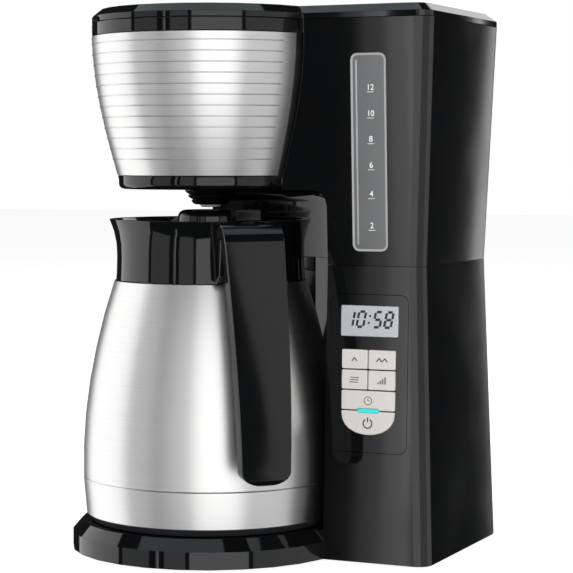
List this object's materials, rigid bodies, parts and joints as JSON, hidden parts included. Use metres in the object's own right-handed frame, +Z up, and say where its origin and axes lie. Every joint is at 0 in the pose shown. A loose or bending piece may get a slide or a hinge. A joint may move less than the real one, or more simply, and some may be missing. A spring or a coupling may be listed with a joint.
{
  "type": "drip coffee maker",
  "caption": "Side-by-side drip coffee maker: thermal carafe on a round foot under a conical steel-banded brew head, water tower with window and key panel beside it.",
  "frame": {"origin": "centre of the bounding box on the surface that the feet rest on", "axes": "+Z up, -Y towards the user who faces the control panel, +X to the tower's side"},
  "size_m": [0.256, 0.2244, 0.36],
  "materials": {
    "black_gloss": "polished black",
    "black_satin": "satin black",
    "grey_plastic": "moulded grey",
    "key_plastic": "warm light grey satin",
    "brushed_steel": "brushed",
    "zinc": "zinc plated",
    "aluminium": "drawn",
    "smoke_window": "clear smoke",
    "silicone": "translucent silicone",
    "rubber": "matt",
    "circuit_board": "solder mask",
    "lamp_teal": "translucent teal",
    "gold_mesh": "gold-toned mesh"
  },
  "bodies": {
    "root": {"bottom_cover": "black_satin", "bottom_screw_1": "zinc", "bottom_screw_2": "zinc", "bottom_screw_3": "zinc", "bottom_screw_4": "zinc", "brew_head": "black_gloss", "check_valve": "grey_plastic", "control_board": "circuit_board", "control_panel": "black_gloss", "cord_gland": "rubber", "display_lens": "smoke_window", "display_module": "grey_plastic", "drip_nozzle": "black_gloss", "filter_basket": "black_satin", "foot_front_left": "rubber", "foot_front_right": "rubber", "foot_rear_left": "rubber", "foot_rear_right": "rubber", "heater_clamp": "zinc", "heater_tube": "aluminium", "inlet_hose": "silicone", "keypad_mat": "rubber", "lid_hinge_pin": "zinc", "lower_housing": "black_gloss", "mesh_filter": "gold_mesh", "power_board": "circuit_board", "reservoir_tank": "smoke_window", "riser_spout": "grey_plastic", "riser_tube": "silicone", "spring_cage": "grey_plastic", "status_light": "lamp_teal", "steel_band": "brushed_steel", "thermal_fuse": "zinc", "thermostat": "aluminium", "top_deck": "black_satin", "upper_housing": "black_gloss", "valve_spring": "brushed_steel", "water_window": "smoke_window", "window_seal": "rubber"},
    "lid": {"lid": "black_gloss", "shower_plate": "grey_plastic"},
    "drip_stop": {"drip_stop_valve": "silicone"},
    "carafe": {"carafe_shell": "brushed_steel", "carafe_liner": "brushed_steel", "carafe_collar": "black_gloss", "carafe_base_ring": "black_satin", "carafe_handle": "black_gloss", "handle_screw": "zinc", "lever_pin": "brushed_steel"},
    "carafe_lid": {"carafe_lid": "black_gloss", "carafe_lid_seal": "silicone"},
    "thumb_lever": {"thumb_lever": "black_gloss"},
    "key_clean": {"key_clean": "key_plastic"},
    "key_hour": {"key_hour": "key_plastic"},
    "key_minute": {"key_minute": "key_plastic"},
    "key_power": {"key_power": "key_plastic"},
    "key_strength": {"key_strength": "key_plastic"},
    "key_timer": {"key_timer": "key_plastic"}
  },
  "joints": [
    {"name": "lid_hinge", "type": "hinge", "parent": "root", "child": "lid", "pos_m": [0.057, 0.1097, 0.35115], "axis": [-1, 0, 0], "range_deg": [0, 95]},
    {"name": "drip_stop_lift", "type": "slide", "parent": "root", "child": "drip_stop", "axis": [0, 0, 1], "range_m": [0, 0.0035], "stiffness_N_per_m": 400, "springref_m": -0.002, "deforming": ["valve_spring"]},
    {"name": "carafe_out", "type": "slide", "parent": "root", "child": "carafe", "axis": [0, -1, 0], "range_m": [0, 0.25]},
    {"name": "carafe_lid_turn", "type": "hinge", "parent": "carafe", "child": "carafe_lid", "pos_m": [-0.0348, -0.0129, 0.2], "axis": [0, 0, 1], "range_deg": [0, 75]},
    {"name": "thumb_lever_press", "type": "hinge", "parent": "carafe", "child": "thumb_lever", "pos_m": [0.01908, -0.07067, 0.2135], "axis": [0.7314, 0.682, 0], "range_deg": [0, 8], "stiffness_Nm_per_rad": 0.4, "springref_deg": -2.86},
    {"name": "key_clean_press", "type": "slide", "parent": "root", "child": "key_clean", "axis": [0, 0.9994, -0.0335], "range_m": [0, 0.0009], "stiffness_N_per_m": 600, "springref_m": -0.0004},
    {"name": "key_hour_press", "type": "slide", "parent": "root", "child": "key_hour", "axis": [0, 0.9994, -0.0335], "range_m": [0, 0.0009], "stiffness_N_per_m": 600, "springref_m": -0.0004},
    {"name": "key_minute_press", "type": "slide", "parent": "root", "child": "key_minute", "axis": [0, 0.9994, -0.0335], "range_m": [0, 0.0009], "stiffness_N_per_m": 600, "springref_m": -0.0004},
    {"name": "key_power_press", "type": "slide", "parent": "root", "child": "key_power", "axis": [0, 0.9994, -0.0335], "range_m": [0, 0.0009], "stiffness_N_per_m": 600, "springref_m": -0.0004},
    {"name": "key_strength_press", "type": "slide", "parent": "root", "child": "key_strength", "axis": [0, 0.9994, -0.0335], "range_m": [0, 0.0009], "stiffness_N_per_m": 600, "springref_m": -0.0004},
    {"name": "key_timer_press", "type": "slide", "parent": "root", "child": "key_timer", "axis": [0, 0.9994, -0.0335], "range_m": [0, 0.0009], "stiffness_N_per_m": 600, "springref_m": -0.0004}
  ]
}
